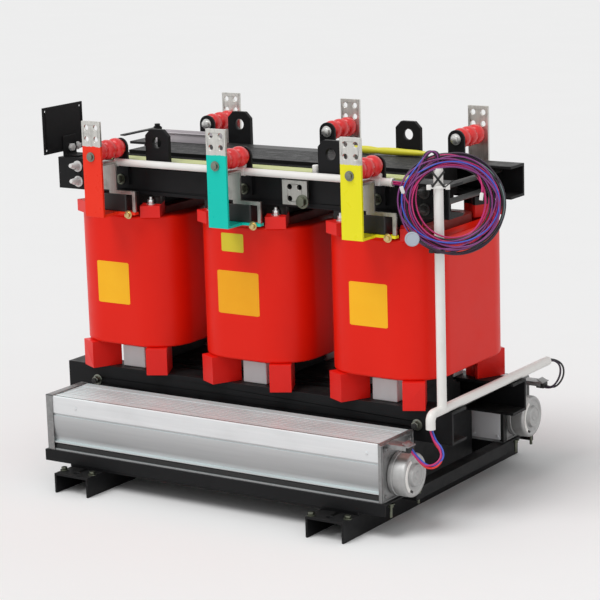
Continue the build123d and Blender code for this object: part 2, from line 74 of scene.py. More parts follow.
# Materials
class Surface:
    """One procedural material: a principled shader with its colour, roughness and bump from nodes."""

    def __init__(self, name, roughness=0.5, metallic=0.0, specular=0.5):
        self.material = bpy.data.materials.new(name)
        self.material.use_nodes = True
        self.tree = self.material.node_tree
        self.shader = self.tree.nodes["Principled BSDF"]
        values = {"Roughness": roughness, "Metallic": metallic, "Specular IOR Level": specular}
        for key, value in values.items():
            self.shader.inputs[key].default_value = value
        self.place = self.node("ShaderNodeTexCoord").outputs["Object"]
        self.normal = None

    def node(self, kind, **settings):
        made = self.tree.nodes.new(kind)
        for key, value in settings.items():
            setattr(made, key, value)
        return made

    def link(self, source, target):
        self.tree.links.new(source, target)

    def noise(self, scale, detail=4.0, stretch=(1, 1, 1)):
        """Cloudy noise, stretched along the axes with small factors."""
        mapping = self.node("ShaderNodeMapping")
        mapping.inputs["Scale"].default_value = stretch
        self.link(self.place, mapping.inputs["Vector"])
        texture = self.node("ShaderNodeTexNoise")
        texture.inputs["Scale"].default_value = scale
        texture.inputs["Detail"].default_value = detail
        texture.inputs["Roughness"].default_value = 0.55
        self.link(mapping.outputs["Vector"], texture.inputs["Vector"])
        return texture.outputs["Fac"]

    def bands(self, axis, pitch, distortion=0.0):
        """Waves across one axis, with one wave to each pitch in metres."""
        texture = self.node("ShaderNodeTexWave", bands_direction=axis, wave_profile="SIN")
        texture.inputs["Scale"].default_value = math.pi / (10 * pitch)
        texture.inputs["Distortion"].default_value = distortion
        self.link(self.place, texture.inputs["Vector"])
        return texture.outputs["Fac"]

    def ramp(self, source, *stops):
        """Maps a value through (position, colour or grey) stops."""
        ramp = self.node("ShaderNodeValToRGB")
        elements = ramp.color_ramp.elements
        while len(elements) < len(stops):
            elements.new(0.5)
        for element, (position, value) in zip(elements, stops):
            element.position = position
            element.color = (*value, 1) if isinstance(value, tuple) else (value, value, value, 1)
        self.link(source, ramp.inputs["Fac"])
        return ramp.outputs["Color"]

    def feed(self, value, socket):
        """Sets a socket to a number or a colour, or links another socket to it."""
        if isinstance(value, bpy.types.NodeSocket):
            self.link(value, socket)
        else:
            socket.default_value = (*value, 1) if isinstance(value, tuple) else value

    def mix(self, share, first, second, blend="MIX"):
        """Blends two colours."""
        mixer = self.node("ShaderNodeMix", data_type="RGBA", blend_type=blend)
        for value, socket in ((share, "Factor"), (first, 6), (second, 7)):
            self.feed(value, mixer.inputs[socket])
        return mixer.outputs[2]

    def math(self, operation, first, second):
        made = self.node("ShaderNodeMath", operation=operation)
        for value, socket in zip((first, second), made.inputs):
            self.feed(value, socket)
        return made.outputs["Value"]

    def part(self, vector, axis):
        """One coordinate of a vector."""
        split = self.node("ShaderNodeSeparateXYZ")
        self.link(vector, split.inputs["Vector"])
        return split.outputs[axis]

    def along(self, axis):
        """One coordinate of the place on the object."""
        return self.part(self.place, axis)

    def upward(self):
        """How much a face looks up, from 0 to 1."""
        facing = self.node("ShaderNodeNewGeometry").outputs["Normal"]
        return self.ramp(self.part(facing, "Z"), (0.6, 0.0), (0.95, 1.0))

    def above(self, value, level, softness=0.0005):
        """0 where a value is below a level and 1 above it, with a short slope between."""
        share = self.math("DIVIDE", self.math("SUBTRACT", value, level), softness)
        clamped = self.node("ShaderNodeClamp")
        self.link(share, clamped.inputs["Value"])
        return clamped.outputs["Result"]

    def colour(self, source):
        self.link(source, self.shader.inputs["Base Color"])

    def roughness(self, source, least, most):
        self.link(self.ramp(source, (0.25, least), (0.75, most)), self.shader.inputs["Roughness"])

    def bump(self, height, strength, distance):
        made = self.node("ShaderNodeBump")
        made.inputs["Strength"].default_value = strength
        made.inputs["Distance"].default_value = distance
        self.link(height, made.inputs["Height"])
        if self.normal is not None:
            self.link(self.normal, made.inputs["Normal"])
        self.normal = made.outputs["Normal"]
        self.link(self.normal, self.shader.inputs["Normal"])
        return self


def black_enamel():
    """Black paint with fine texture, thin dust on what looks up and slight wear."""
    s = Surface("black_enamel", specular=0.16)
    patches = s.mix(s.noise(9), (0.0045, 0.0047, 0.0052), (0.0105, 0.0105, 0.0115))
    dust = s.math("MULTIPLY", s.upward(), s.ramp(s.noise(24, 6), (0.35, 0.0), (0.8, 0.5)))
    s.colour(s.mix(dust, patches, (0.036, 0.034, 0.031)))
    s.roughness(s.noise(35, 5), 0.34, 0.58)
    return s.bump(s.noise(900, 3), 0.16, 0.0003).material


def core_varnish():
    """Dark varnish over the edges of stacked sheets."""
    s = Surface("core_varnish", specular=0.14)
    sheets = s.bands("Y", 0.0022, 1.2)
    base = s.mix(s.noise(14), (0.004, 0.0042, 0.0045), (0.010, 0.010, 0.0105))
    lines = s.mix(s.ramp(sheets, (0.55, 0.0), (0.95, 0.5)), base, (0.024, 0.023, 0.022))
    rust = s.ramp(s.noise(30, 6), (0.66, 0.0), (0.8, 0.3))
    s.colour(s.mix(rust, lines, (0.026, 0.016, 0.011)))
    s.roughness(s.noise(50), 0.35, 0.6)
    return s.bump(sheets, 0.35, 0.0004).material


def press_block():
    """Red moulded block with a black packer on top of it."""
    s = Surface("press_block", specular=0.3)
    red = s.mix(s.noise(14, 3), (0.72, 0.010, 0.008), (0.84, 0.020, 0.012))
    s.colour(s.mix(s.above(s.along("Z"), PACKER_LEVEL), red, (0.010, 0.0095, 0.009)))
    s.roughness(s.noise(22, 4), 0.28, 0.42)
    return s.bump(s.noise(420, 2), 0.05, 0.0002).material


def cast_resin(name, dark, light, gloss, specular=0.3):
    """Cast resin: even colour with soft clouds, faint flow lines and a gently wavy gloss."""
    s = Surface(name, specular=specular)
    clouds = s.mix(s.noise(5, 3), dark, light)
    streaks = s.ramp(s.noise(9, 3, (1, 1, 0.25)), (0.5, 0.0), (0.9, 0.12))
    s.colour(s.mix(streaks, clouds, tuple(c * 0.8 for c in dark)))
    s.roughness(s.noise(22, 4), *gloss)
    s.bump(s.noise(14, 1), 0.05, 0.0020)
    return s.bump(s.noise(420, 2), 0.05, 0.0002).material


def wrapped_resin():
    """The inner coil: resin over a woven wrap."""
    s = Surface("wrapped_resin")
    weave = s.math("MULTIPLY", s.bands("X", 0.003, 0.6), s.bands("Z", 0.003, 0.6))
    s.colour(s.mix(s.noise(12), (0.20, 0.016, 0.012), (0.34, 0.030, 0.020)))
    s.roughness(s.noise(30), 0.35, 0.55)
    return s.bump(weave, 0.5, 0.0005).material


def grained(name, dark, light, tone, sheen, gloss, grain, metallic=0.0):
    """Soft changes of tone and gloss at two noise scales, and a grain: scale, detail, strength, depth."""
    scale, detail, strength, depth = grain
    s = Surface(name, metallic=metallic)
    s.colour(s.mix(s.noise(tone, 5), dark, light))
    s.roughness(s.noise(sheen), *gloss)
    return s.bump(s.noise(scale, detail), strength, depth).material


def moulded(name, dark, light, gloss=(0.4, 0.55)):
    """Moulded plastic."""
    return grained(name, dark, light, 18, 40, gloss, (600, 3, 0.14, 0.0003))


def sheath(name, dark, light):
    """The sheath of a thin wire."""
    return grained(name, dark, light, 24, 70, (0.30, 0.48), (380, 2, 0.10, 0.0002))


def zinc(name, tint):
    """Plated steel of small fasteners."""
    dark = tuple(c * 0.72 for c in tint)
    return grained(name, dark, tint, 70, 120, (0.24, 0.42), (500, 3, 0.10, 0.0002), 0.95)


def cast_aluminium():
    """Die-cast aluminium with a sandy grain."""
    tones = ((0.34, 0.34, 0.34), (0.52, 0.52, 0.51))
    return grained("die_cast_aluminium", *tones, 60, 90, (0.40, 0.58), (700, 3, 0.25, 0.0003), 0.75)


def board():
    """Laminate strips with a fine weave: pale on the front clamp and black on the rear one."""
    s = Surface("laminate_board", roughness=0.45)
    pale = s.mix(s.noise(40, 5), (0.46, 0.52, 0.16), (0.66, 0.68, 0.30))
    s.colour(s.mix(s.above(s.along("Y"), 0.0), pale, (0.012, 0.012, 0.012)))
    return s.bump(s.bands("X", 0.0016, 0.4), 0.2, 0.0002).material


def bare_metal(s, dark, light):
    """Colour of tinned copper, with brushed lines along the bar and dull spots."""
    lines = s.noise(60, 6, (6, 6, 0.4))
    brushed = s.mix(lines, dark, light)
    spots = s.ramp(s.noise(45, 7), (0.52, 0.0), (0.72, 0.55))
    return s.mix(spots, brushed, tuple(c * 0.55 for c in dark))


def tinned(name, dark, light):
    """Tinned copper without paint."""
    s = Surface(name, metallic=0.92)
    s.colour(bare_metal(s, dark, light))
    s.roughness(s.noise(80, 5), 0.28, 0.48)
    return s.bump(s.noise(180, 4, (3, 3, 0.3)), 0.12, 0.0003).material


def painted_bar(name, dark, light):
    """Gloss paint on a bar, and bare tinned metal above the paint's ragged edge."""
    s = Surface(name, specular=0.25)
    ragged = s.math("MULTIPLY", s.math("SUBTRACT", s.noise(160, 3), 0.5), 0.006)
    height = s.math("ADD", s.along("Z"), ragged)
    bare = s.above(height, PAINT_LEVEL, 0.0004)
    paint = s.mix(s.noise(10, 4), dark, light)
    s.colour(s.mix(bare, paint, bare_metal(s, *TIN_TONES)))
    s.link(s.math("MULTIPLY", bare, 0.92), s.shader.inputs["Metallic"])
    s.roughness(s.noise(50, 4), 0.22, 0.42)
    s.bump(s.noise(70, 3), 0.06, 0.0006)
    return s.bump(s.noise(260, 4, (3, 3, 0.5)), 0.08, 0.0002).material


def extruded():
    """Extruded aluminium, drawn along X, with faint smears and painted light and shade by height: a pale top
    band, a painted highlight on the lip, and painted shade at the foot and down the belly. Faces that look up
    get a paler bluish painted top light.
    """
    s = Surface("extruded_aluminium", metallic=0.35, specular=0.35)
    drawn = s.noise(120, 5, (0.04, 1, 1))
    front = s.mix(drawn, (0.66, 0.67, 0.68), (0.80, 0.81, 0.82))
    # Faces that look up take a paler, bluish tone: painted top light.
    pale = s.mix(s.upward(), front, (0.72, 0.83, 0.84))
    foot, top = low("front_fan_casing").z, high("front_fan_casing").z
    height = s.math("DIVIDE", s.math("SUBTRACT", s.along("Z"), foot), top - foot)
    # Painted light and shade by height up the casing: darker at the foot and down the curved belly as painted
    # shade, and a lighter lip and top band as painted highlight.
    belly = ((0.0, 0.50), (0.17, 0.80), (0.19, 0.80), (0.26, 0.50), (0.52, 0.60), (0.66, 0.72), (0.69, 1.0))
    painted_shading = s.mix(1.0, pale, s.ramp(height, *belly), "MULTIPLY")
    smears = s.ramp(s.noise(9, 6, (0.5, 1, 1)), (0.5, 0.0), (0.8, 0.30))
    s.colour(s.mix(smears, painted_shading, (0.40, 0.40, 0.40)))
    s.roughness(s.noise(26, 5, (0.2, 1, 1)), 0.36, 0.52)
    return s.bump(drawn, 0.05, 0.0002).material


def galvanised():
    """Galvanised sheet with spangles."""
    s = Surface("galvanised_sheet", metallic=0.85)
    cells = s.node("ShaderNodeTexVoronoi")
    cells.inputs["Scale"].default_value = 160
    s.link(s.place, cells.inputs["Vector"])
    spangle = cells.outputs["Color"]
    tone = s.ramp(spangle, (0.0, 0.22), (1.0, 0.38))
    s.colour(s.mix(s.noise(30, 5), tone, (0.25, 0.25, 0.25)))
    s.roughness(spangle, 0.36, 0.52)
    return s.bump(s.noise(90, 4), 0.08, 0.0003).material


def white_tube():
    """White plastic conduit with faint brown marks."""
    s = Surface("white_tube")
    s.shader.inputs["Coat Weight"].default_value = 0.05
    s.shader.inputs["Coat Roughness"].default_value = 0.1
    clean = s.mix(s.noise(20, 4), (0.80, 0.785, 0.75), (0.88, 0.87, 0.845))
    marks = s.ramp(s.noise(34, 7, (1, 1, 0.5)), (0.60, 0.0), (0.80, 0.22))
    s.colour(s.mix(marks, clean, (0.42, 0.36, 0.31)))
    s.roughness(s.noise(44), 0.28, 0.45)
    return s.bump(s.noise(55, 3), 0.05, 0.0006).material


def sticker(name, dark, light):
    """A plain printed sheet with small scuffs."""
    s = Surface(name, specular=0.22)
    faded = s.mix(s.noise(22, 5), dark, light)
    scuffs = s.ramp(s.noise(140, 6), (0.66, 0.0), (0.78, 0.25))
    s.colour(s.mix(scuffs, faded, (0.66, 0.42, 0.12)))
    s.roughness(s.noise(60), 0.28, 0.42)
    return s.bump(s.noise(30, 3), 0.06, 0.0004).material


PACKER_LEVEL = 0.6203
PAINT_LEVEL = 0.757
TIN_TONES = ((0.50, 0.49, 0.46), (0.78, 0.77, 0.73))

BLACK = black_enamel()
CORE = core_varnish()
RESIN = cast_resin("red_resin", (0.74, 0.009, 0.0015), (0.82, 0.015, 0.004), (0.34, 0.46), 0.2)
BLOCK_RED = cast_resin("red_moulding", (0.72, 0.008, 0.004), (0.84, 0.015, 0.008), (0.30, 0.44))
INSULATOR = cast_resin("insulator_red", (0.72, 0.018, 0.020), (0.84, 0.034, 0.034), (0.18, 0.30), 0.5)
# Black moulding of the fan terminals; on the coils' lead blocks the black is painted shade.
BLACK_AND_SHADED_BLOCK = moulded("black_moulding_and_painted_shade", (0.005, 0.005, 0.0055), (0.013, 0.0125, 0.012))
TINNED = tinned("tinned_copper", *TIN_TONES)
DULL_TIN = tinned("dull_tin", (0.30, 0.29, 0.27), (0.50, 0.49, 0.46))
BAR_PAINT = {
    "left": painted_bar("red_bar_paint", (0.84, 0.022, 0.006), (0.92, 0.040, 0.012)),
    "middle": painted_bar("teal_bar_paint", (0.0, 0.53, 0.43), (0.0, 0.62, 0.51)),
    "right": painted_bar("yellow_bar_paint", (0.80, 0.74, 0.010), (0.88, 0.81, 0.020)),
}
ALUMINIUM = extruded()
SHEET = galvanised()
CAST = cast_aluminium()
TUBE = white_tube()
ZINC = zinc("zinc_plate", (0.78, 0.78, 0.76))
YELLOW_ZINC = zinc("yellow_zinc", (0.72, 0.56, 0.26))
DULL_ZINC = zinc("dull_zinc", (0.25, 0.26, 0.22))
BRIGHT = zinc("bright_clip", (0.90, 0.90, 0.89))
DARK_STEEL = zinc("dark_steel", (0.16, 0.17, 0.13))
# Dark colour of the tie rods, which stands for the shade they lie in between the coils: painted shade. The
# right cap nuts take it too.
SHADED_DARK_ROD = moulded("dark_rod", (0.014, 0.014, 0.013), (0.035, 0.034, 0.032))
# Pale for the controller plate's bolts; on the left cap nuts it is painted highlight.
PALE_CAP_AND_HIGHLIGHT = moulded("pale_cap", (0.66, 0.66, 0.65), (0.80, 0.80, 0.79), (0.3, 0.45))
# Black of the cable ties; the same dark colour is painted shade in the casings' gaps and on the motors'
# slots.
BLACK_AND_PAINTED_SHADE = moulded("black_plastic_and_painted_shade", (0.004, 0.004, 0.004), (0.010, 0.010, 0.010))


# Mesh building
class Builder:
    """Collects the solids of one piece in one mesh."""

    def __init__(self):
        self.mesh = bmesh.new()

    def rounded(self, verts, bevel):
        """Rounds the sharp edges between some vertices."""
        if bevel:
            edges = {e for v in verts for e in v.link_edges if len(e.link_faces) == 2}
            sharp = [e for e in edges if e.calc_face_angle(0) > SMOOTH_ANGLE]
            bmesh.ops.bevel(self.mesh, geom=sharp, offset=bevel, segments=2, affect="EDGES", profile=0.5)

    def box(self, a, b, bevel, turn=None):
        """A box between two corners, turned about its centre where a matrix is given."""
        a, b = Vector(a), Vector(b)
        size = Matrix.Diagonal([*(abs(p) for p in b - a), 1])
        place = Matrix.Translation((a + b) / 2)
        if turn is not None:
            place = place @ turn.to_4x4()
        made = bmesh.ops.create_cube(self.mesh, size=1.0, matrix=place @ size)
        self.rounded(made["verts"], bevel)

    def cylinder(self, start, end, radius, bevel, segments, end_radius=None):
        """A round bar between two points, tapered where an end radius is given."""
        start, end = Vector(start), Vector(end)
        far = radius if end_radius is None else end_radius
        made = bmesh.ops.create_cone(
            self.mesh, cap_ends=True, segments=segments, radius1=radius, radius2=far,
            depth=(end - start).length, matrix=pointing((start + end) / 2, end - start),
        )
        self.rounded(made["verts"], bevel)

    def block(self, at, half, bevel, turn):
        """A turned box around its middle, from its half sizes."""
        half = Vector(half)
        self.box(at - half, at + half, bevel, turn)

    def lathe(self, place, direction, profile, segments):
        """Turns (distance along, radius) pairs about a line."""
        matrix = pointing(Vector(place), Vector(direction))
        angles = [math.tau * k / segments for k in range(segments)]
        rings = []
        for distance, radius in profile:
            ring = [Vector((radius * math.cos(a), radius * math.sin(a), distance)) for a in angles]
            rings.append([matrix @ point for point in ring])
        return self.skin(rings)

    def prism(self, outline, start, end):
        """An outline of Y and Z, drawn out along X."""
        return self.skin([[(x, *point) for point in outline] for x in (start, end)])

    def skin(self, rings):
        """Joins rings of points with faces, and closes both ends."""
        rings = [[self.mesh.verts.new(point) for point in ring] for ring in rings]
        count = len(rings[0])
        for before, after in zip(rings, rings[1:]):
            for k in range(count):
                n = (k + 1) % count
                self.mesh.faces.new((before[k], before[n], after[n], after[k]))
        self.mesh.faces.new(reversed(rings[0]))
        self.mesh.faces.new(rings[-1])
        bmesh.ops.recalc_face_normals(self.mesh, faces=self.mesh.faces)
        return self

    def bolt(self, place, direction, across, tail=0.0, height=None):
        """A hexagon head on a washer, and the end of its thread where a tail is given."""
        place, way = Vector(place), Vector(direction)
        base = place + way * 0.0018
        self.cylinder(place, base, across * 0.78, 0.0003, 28)
        top = base + way * (height or across * 0.5)
        self.cylinder(base, top, across * 0.577, across * 0.05, 6)
        if tail:
            self.cylinder(top, top + way * tail, across * 0.29, 0.0006, 20)

    def done(self, name, material, slot, *nodes):
        """Makes the object, rides it on the body and hides the nodes that it stands for."""
        data = bpy.data.meshes.new(name)
        self.mesh.to_mesh(data)
        self.mesh.free()
        data.shade_smooth()
        data.set_sharp_from_angle(angle=SMOOTH_ANGLE)
        return settle(bpy.data.objects.new(name, data), material, slot, *nodes)


def pointing(place, direction):
    """A matrix that puts a shape at a place with its Z along a direction."""
    turn = Vector((0, 0, 1)).rotation_difference(Vector(direction).normalized())
    return Matrix.Translation(place) @ turn.to_matrix().to_4x4()


def settle(piece, material, slot, *nodes):
    """Puts a piece in the scene, on the body and in a material slot."""
    SCENE.collection.objects.link(piece)
    piece.data.materials.append(material)
    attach(piece, "root")
    if nodes:
        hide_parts(*nodes)
    return piece


def dress(node, material, bevel, segments=2):
    """Gives a node its material and soft edges."""
    piece = NODES[node]
    for held in piece.material_slots:
        held.material = material
    if bevel:
        weld = piece.modifiers.new("weld", "WELD")
        weld.merge_threshold = 0.00002
        rounding = piece.modifiers.new("rounding", "BEVEL")
        rounding.width = bevel
        rounding.segments = segments
        rounding.limit_method = "ANGLE"
        rounding.angle_limit = SMOOTH_ANGLE
        rounding.harden_normals = True
    return piece


# Solids that keep their shape and get a finish
ENAMELLED = ["cross_bars", "insulator_straps", "controller_plate", "controller_bracket"]
ENAMELLED += [f"{part}_{end}" for part in ("skid", "pedestal", "side_rail") for end in ENDS]
CLAMPS = ("fan_rail", "lower_clamp", "upper_clamp", "lifting_lugs")
ENAMELLED += [f"{part}_{face}" for part in CLAMPS for face in FACES]
for node in ENAMELLED:
    dress(node, BLACK, 0.0012)
for node in ("lower_yoke", "upper_yoke", "core_limbs"):
    dress(node, CORE, 0.0006)
for name in PHASES:
    dress(f"outer_coil_{name}", RESIN, 0.0)
    dress(f"front_bar_{name}", BAR_PAINT[name], 0.0008)
    dress(f"rear_bar_{name}", TINNED, 0.0008)
dress("coil_feet", BLOCK_RED, 0.003, 3)
dress("press_blocks", press_block(), 0.003, 3)
dress("inner_coils", wrapped_resin(), 0.002)
dress("inner_coil_blocks", moulded("grey_moulding", (0.62, 0.66, 0.67), (0.76, 0.80, 0.81)), 0.002)
# The coils' terminal blocks, black as painted shade.
dress("lead_blocks", BLACK_AND_SHADED_BLOCK, 0.003, 3)
dress("insulation_strips", board(), 0.0005)
dress("front_leads", DULL_TIN, 0.0006)
dress("neutral_bar", DULL_TIN, 0.0006)
# The tie rods in a dark colour for the shade they lie in: painted shade.
dress("tie_rods", SHADED_DARK_ROD, 0.0008)
for node in ("top_conduit", "side_conduit", "riser"):
    dress(node, TUBE, 0.0)


# Insulators
POST_Z = {face: middle(f"{face}_insulators").z for face in FACES}


def insulators():
    """Ribbed cast posts, one for each bar."""
    ribs, steps = 3, 8
    core, rim = 0.0165, 0.022
    for face, side in FACES.items():
        node = f"{face}_insulators"
        start = min(abs(low(node).y), abs(high(node).y))
        length = high(node).y - low(node).y
        pitch = length / ribs
        profile = [(0.0, core)]
        for k in range(ribs):
            for i in range(steps + 1):
                share = i / steps
                swell = math.sin(math.pi * share) ** 0.45
                profile.append((pitch * (k + 0.12 + 0.76 * share), core + (rim - core) * swell))
        profile.append((length, core))
        posts = Builder()
        for phase in PHASES.values():
            posts.lathe((phase + BAR_SHIFT, side * start, POST_Z[face]), (0, side, 0), profile, 56)
        posts.done(node + "_cast", INSULATOR, "insulator_red", node)


insulators()


# Fans, with Y measured outwards from the middle of the object
FAN_LEFT, FAN_BACK, FAN_FOOT = low("rear_fan_casing")
FAN_RIGHT, FAN_FRONT, FAN_TOP = high("rear_fan_casing")
FAN_MIDDLE_Y, FAN_MIDDLE_Z = middle("rear_fan_casing").yz
FAN_HALF = (FAN_TOP - FAN_FOOT) / 2
FAN_END_FACE = FAN_RIGHT + 0.004
SHELF_END = high("rear_fan_end_plates").x
SHELF_Y = FAN_MIDDLE_Y + 0.036
CASING_SCREWS = (-0.362, 0.392)
MOTOR_RADIUS, MOTOR_Z = 0.046, 0.128


def arc(first, between, last, count=14):
    """Points on the circle through three points, from the first to the last."""
    a, b, c = (complex(*point) for point in (first, between, last))
    ratio = (c - a) / (b - a)
    centre = a + (b - a) * (ratio - abs(ratio) ** 2) / (2j * ratio.imag)
    turn = (c - centre) / (a - centre)
    points = [centre + (a - centre) * turn ** (k / count) for k in range(count + 1)]
    return [(point.real, point.imag) for point in points]


def casing_outline():
    """The casing's section, as (towards the back, up) from its middle."""
    h = FAN_HALF
    edge = 0.0025
    rim = [(0.041, 0.0), (0.041, 0.0014), (0.039, 0.0014), (0.039, 0.003)]
    outline = [(h, -h), (h, h)]
    outline += [(y, h - sunk) for y, sunk in rim]
    outline += [(-y, h - sunk) for y, sunk in reversed(rim)]
    outline += arc((edge - h, h), (edge * 0.3 - h, h - edge * 0.3), (-h, h - edge), 5)
    groove = [(0.0, 0.0235), (0.003, 0.022), (0.003, 0.019)]
    belly = arc((0.0008, 0.0175), (0.0012, -0.009), (0.007, -0.040))
    lip = [(0.0, -0.0425), (0.0, -0.0445), (0.013, -0.047)]
    foot = [(0.013, -0.0585), (0.0005, -0.0585), (0.0005, -h)]
    return outline + [(depth - h, up) for depth, up in groove + belly + lip + foot]


def fan_casing(name, side):
    """Drawn casing: flat band, groove, curved belly, lip and foot at the front, barred outlet on top."""
    casing = Builder()
    placed = [(side * (FAN_MIDDLE_Y - y), FAN_MIDDLE_Z + z) for y, z in casing_outline()]
    casing.prism(placed, FAN_LEFT, FAN_RIGHT)
    bars, reach, half_bar = 7, 0.033, 0.0042
    for k in range(bars):
        y = side * (FAN_MIDDLE_Y - reach + 2 * reach * k / (bars - 1))
        start = (FAN_LEFT + 0.002, y - half_bar, FAN_TOP - 0.0030)
        casing.box(start, (FAN_RIGHT - 0.002, y + half_bar, FAN_TOP - 0.0004), 0.0006)
    for x in CASING_SCREWS:
        screw = Vector((x, side * FAN_FRONT, 0.180))
        casing.cylinder(screw, screw + Vector((0, side * 0.0016, 0)), 0.0035, 0.0006, 18)
    casing.done(f"{name}_fan_drawn_casing", ALUMINIUM, "fan_aluminium", f"{name}_fan_casing")


def fan_painted_shade(name, side):
    """Painted shade of a casing: dark strips in the recess above its foot, along its top front edge and under
    the outlet's bars, and on the rear casing one more in the gap at its right end.
    """
    shade_strips = Builder()
    # Dark strips where the recesses and gaps lie in shade: painted shade.
    for y0, y1, z0, z1 in (
        (FAN_FRONT - 0.0128, FAN_FRONT - 0.0030, 0.0818, 0.0926),
        (FAN_FRONT - 0.0070, FAN_FRONT - 0.0045, 0.2000, 0.2021),
        (FAN_MIDDLE_Y - 0.0385, FAN_MIDDLE_Y + 0.0385, 0.1988, 0.1995),
    ):
        shade_strips.box((FAN_LEFT + 0.001, side * y0, z0), (FAN_RIGHT - 0.001, side * y1, z1), 0.0)
    # At the rear casing's right end, a dark strip in the gap before the end plate: painted shade.
    if name == "rear":
        shade_strips.box((FAN_RIGHT - 0.003, 0.1915, 0.080), (FAN_END_FACE + 0.0026, 0.2065, 0.176), 0.0004)
    shade_strips.done(f"{name}_fan_painted_shade", BLACK_AND_PAINTED_SHADE, None)


def end_plates(plates, side):
    """Folded plates at both ends of a casing, the right one with a raised rim and screws."""
    rim, fold, inset = 0.004, 0.0018, 0.012
    left = low("rear_fan_end_plates").x
    y0, y1 = side * FAN_MIDDLE_Y - FAN_HALF, side * FAN_MIDDLE_Y + FAN_HALF
    z0, z1 = FAN_FOOT, FAN_TOP
    plates.box((left, y0, z0), (left + 0.004, y1, z1), 0.0008)
    plates.box((FAN_RIGHT, y0, z0), (FAN_END_FACE, y1, z1), 0.0008)
    for a, b in (
        ((y0, z0), (y0 + rim, z1)), ((y1 - rim, z0), (y1, z1)),
        ((y0 + rim, z1 - rim), (y1 - rim, z1)), ((y0 + rim, z0), (y1 - rim, z0 + rim)),
    ):
        plates.box((FAN_END_FACE, *a), (FAN_END_FACE + fold, *b), 0.0006)
    for y in (y0 + inset, y1 - inset):
        for z in (z0 + inset, z1 - inset - 0.002):
            plates.cylinder((FAN_END_FACE, y, z), (FAN_END_FACE + 0.0022, y, z), 0.0038, 0.0006, 20)
    for x0, x1, proud in ((left, left + 0.018, 0.0022), (FAN_RIGHT - 0.004, FAN_END_FACE, 0.0016)):
        top_front = (x1, side * (FAN_FRONT + proud), z1 + proud)
        plates.box((x0, side * FAN_FRONT, z0), top_front, 0.0006)
        plates.box((x0, side * FAN_BACK, z1), top_front, 0.0006)


def shelf(plates, side):
    """The shelf over the motor, with folded sides, a tilted tongue and a tab behind it."""
    half = 0.015
    y0, y1 = side * SHELF_Y - half, side * SHELF_Y + half
    top = FAN_TOP
    plates.box((FAN_END_FACE, y0, top - 0.003), (SHELF_END, y1, top), 0.0008)
    for y in (y0, y1 - 0.0016):
        end = (SHELF_END - 0.006, y + 0.0016, top - 0.002)
        plates.box((FAN_END_FACE + 0.004, y, top - 0.010), end, 0.0005)
    tilt = Matrix.Rotation(math.radians(24), 3, "Y")
    tongue = (SHELF_END - 0.016, y0 + 0.002, top + 0.0008)
    plates.box(tongue, (SHELF_END - 0.001, y1 - 0.002, top + 0.0026), 0.0005, tilt)
    tab = (FAN_END_FACE - 0.001, y0 - 0.022, top - 0.001)
    plates.box(tab, (FAN_END_FACE + 0.007, y0 - 0.001, top + 0.001), 0.0005)


def fan_ends(name, side):
    """The sheet metal at both ends of a fan."""
    plates = Builder()
    end_plates(plates, side)
    shelf(plates, side)
    plates.bolt((FAN_END_FACE + 0.0018, side * (FAN_FRONT - 0.010), FAN_TOP - 0.012), (1, 0, 0), 0.0075)
    plates.done(f"{name}_fan_folded_ends", SHEET, "fan_plate", f"{name}_fan_end_plates")


def motor(name, side):
    """Die-cast motor with a grooved flange, a rounded shoulder and a boss, with a white arc on the left rim
    of its end face as painted highlight and a dark patch as the painted shade of its slot.
    """
    r = MOTOR_RADIUS
    x, y = FAN_END_FACE, side * FAN_MIDDLE_Y
    profile = [(0, r - 0.003), (0.002, r), (0.010, r)]
    profile += [(0.0112, r - 0.0015), (0.0132, r - 0.0015), (0.0144, r)]
    shoulder, turned = 0.006, (0.0, 0.4, 0.8, 1.2, 1.57)
    profile += [(0.036 + shoulder * math.sin(a), r - shoulder + shoulder * math.cos(a)) for a in turned]
    profile += [(0.0416, 0.037), (0.0404, 0.0355), (0.0404, 0.0250), (0.0420, 0.0238), (0.0455, 0.0232)]
    profile += [(0.0468, 0.0222), (0.0470, 0.0205), (0.0456, 0.0190), (0.0456, 0.0085), (0.0468, 0.0075)]
    profile += [(0.0468, 0.0030), (0.0462, 0.0012)]
    body = Builder().lathe((x, y, MOTOR_Z), (1, 0, 0), profile, 72)
    body.done(f"{name}_fan_cast_motor", CAST, "motor_cast", f"{name}_fan_motor")

    def on_face(radius, degrees):
        angle = math.radians(degrees)
        return y + radius * math.cos(angle), MOTOR_Z + radius * math.sin(angle)

    # A white arc along the left rim of the end face: painted highlight.
    white_piece = Builder()
    face = x + 0.0405
    first, last, steps = 118, 226, 16
    inner, outer = 0.0340, 0.0408
    for k in range(steps):
        a, b = (first + (last - first) * n / steps for n in (k, k + 1))
        corners = [on_face(inner, a), on_face(outer, a), on_face(outer, b), on_face(inner, b)]
        white_piece.prism(corners, face - 0.003, face + 0.003)
    white_piece.done(f"{name}_fan_motor_painted_highlight", TUBE, None)
    # A dark patch on the end face: painted shade in a slot.
    slot = Builder()
    slot_angle = 243
    at = Vector((face + 0.0006, *on_face(0.0345, slot_angle)))
    turn = Matrix.Rotation(math.radians(slot_angle + 90), 3, "X")
    slot.block(at, (0.001, 0.0050, 0.0026), 0.0006, turn)
    slot.done(f"{name}_fan_motor_slot", BLACK_AND_PAINTED_SHADE, None)


def inner_plate():
    """A pale plate on the inner face of the rear casing, at its right end: a label, its pale colour partly
    painted light on a face that lies in deep shade.
    """
    plate = Builder()
    face = FAN_BACK - 0.0016
    plate.box((0.350, face, 0.084), (0.4225, FAN_BACK, 0.176), 0.0006)
    for x in (0.357, 0.4155):
        for z in (0.092, 0.168):
            plate.cylinder((x, face, z), (x, face - 0.0014, z), 0.0030, 0.0004, 18)
    plate.done("rear_fan_inner_plate", moulded("pale_plate_and_painted_light", (0.66, 0.66, 0.68), (0.80, 0.80, 0.82)), None)


